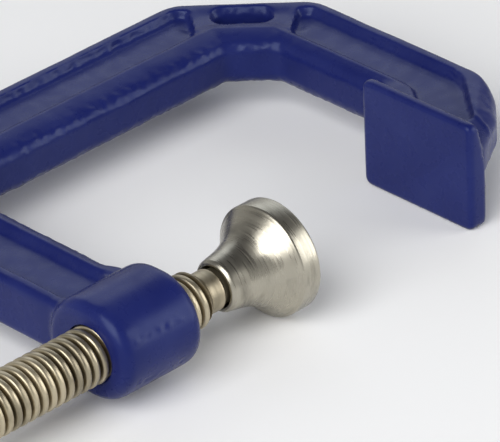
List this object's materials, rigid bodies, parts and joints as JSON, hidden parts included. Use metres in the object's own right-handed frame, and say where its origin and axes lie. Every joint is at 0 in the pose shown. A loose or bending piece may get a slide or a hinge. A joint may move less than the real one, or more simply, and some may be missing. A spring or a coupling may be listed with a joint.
{
  "type": "c clamp",
  "caption": "Cast C-frame screw clamp with a flat anvil, a plated trapezoidal screw, a bell-shaped swivel shoe on a ball end and a sliding tommy bar with end caps.",
  "frame": {"origin": "the point where the screw axis meets the face of the fixed anvil", "axes": "+X along the screw towards the anvil, +Y from the screw towards the spine of the C, +Z out of the flat of the frame"},
  "size_m": [0.2502, 0.1664, 0.0326],
  "materials": {
    "frame_paint": "glossy dark blue enamel over a rough sand casting",
    "screw_plating": "nickel plate over a rolled thread, warm grey",
    "shoe_plating": "nickel plate over a turned surface, fine circumferential marks",
    "spring_steel": "oiled spring wire"
  },
  "bodies": {
    "clamp_frame": {"frame": "frame_paint"},
    "screw_carrier": {"snap_ring": "spring_steel"},
    "screw": {"screw": "screw_plating"},
    "shoe": {"swivel_shoe": "shoe_plating"},
    "tommy_bar": {"tommy_bar": "screw_plating", "bar_cap_left": "screw_plating", "bar_cap_right": "screw_plating"}
  },
  "joints": [
    {"name": "screw_feed", "type": "slide", "parent": "clamp_frame", "child": "screw_carrier", "axis": [1, 0, 0], "range_m": [-0.0161, 0.0586]},
    {"name": "screw_turn", "type": "hinge", "parent": "screw_carrier", "child": "screw", "pos_m": [-0.077, 0, 0], "axis": [1, 0, 0], "range_deg": [-1920, 7020]},
    {"name": "shoe_tilt", "type": "hinge", "parent": "screw_carrier", "child": "shoe", "pos_m": [-0.077, 0, 0], "axis": [0, 0, 1], "range_deg": [-6, 6]},
    {"name": "tommy_bar_slide", "type": "slide", "parent": "screw", "child": "tommy_bar", "axis": [0, 1, 0], "range_m": [-0.034, 0.034]}
  ],
  "couplings": [
    {"joint": "screw_feed", "follows": "screw_turn", "m_per_rad": 0.00047746}
  ]
}
